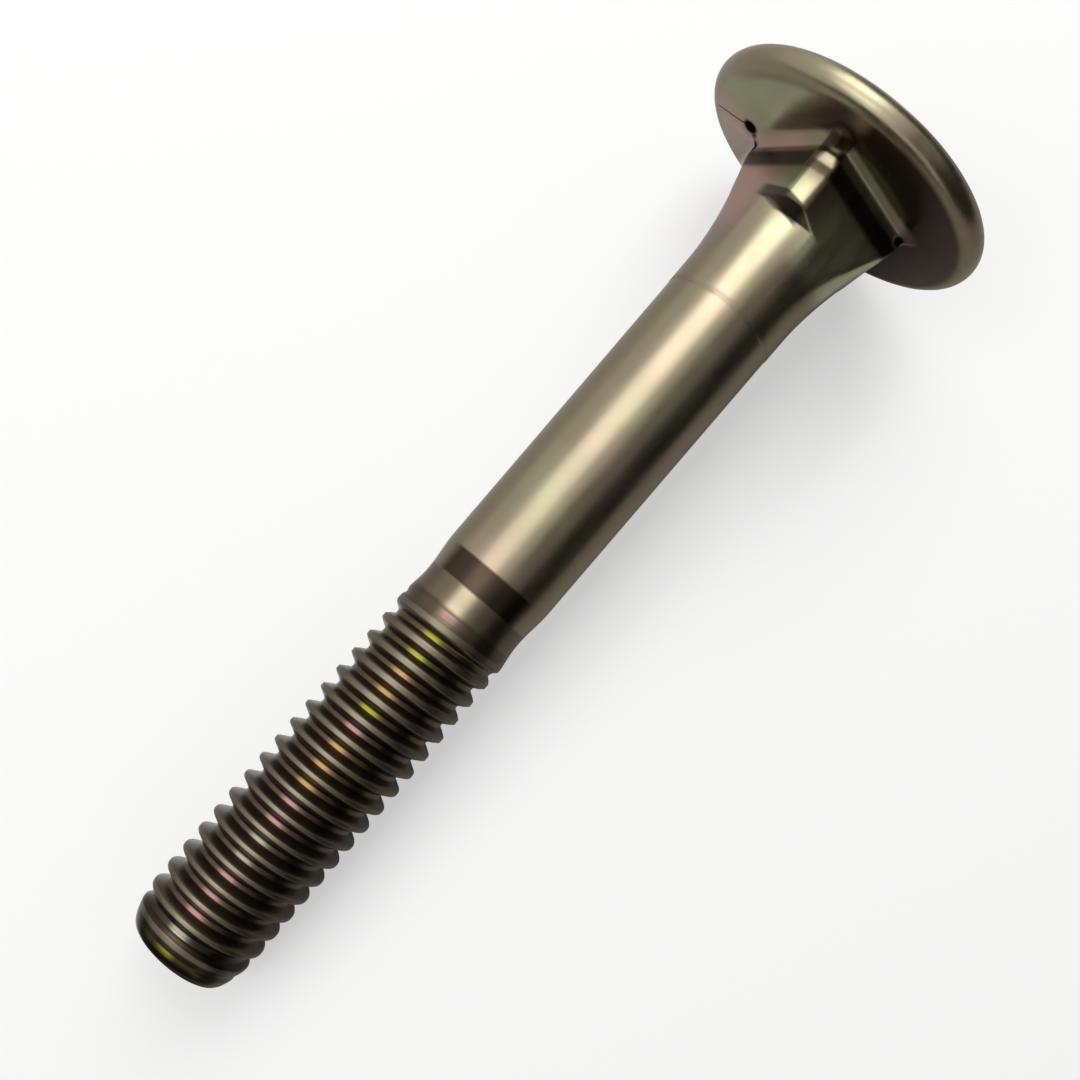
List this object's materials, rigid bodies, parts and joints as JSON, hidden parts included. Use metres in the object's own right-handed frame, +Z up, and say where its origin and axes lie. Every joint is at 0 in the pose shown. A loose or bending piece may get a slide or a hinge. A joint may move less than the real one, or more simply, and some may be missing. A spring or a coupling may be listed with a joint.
{
  "type": "carriage bolt",
  "caption": "Carriage bolt with a low domed head, a square neck that flares into the shank, a plain shank and a right-hand thread, lying on its side.",
  "frame": {"origin": "middle of the outline on the surface that the bolt lies on, under the shank", "axes": "+X runs along the bolt from the thread to the head, +Z up; the bolt's own axis lies in the XZ plane and rises towards the head by the angle at which the rim and the thread both touch the surface"},
  "size_m": [0.0652, 0.0194, 0.0193],
  "materials": {
    "plated_steel": "steel with yellow passivated zinc plating, satin, olive bronze with faint pink and green tints"
  },
  "bodies": {
    "root": {"carriage_bolt": "plated_steel"}
  },
  "joints": []
}
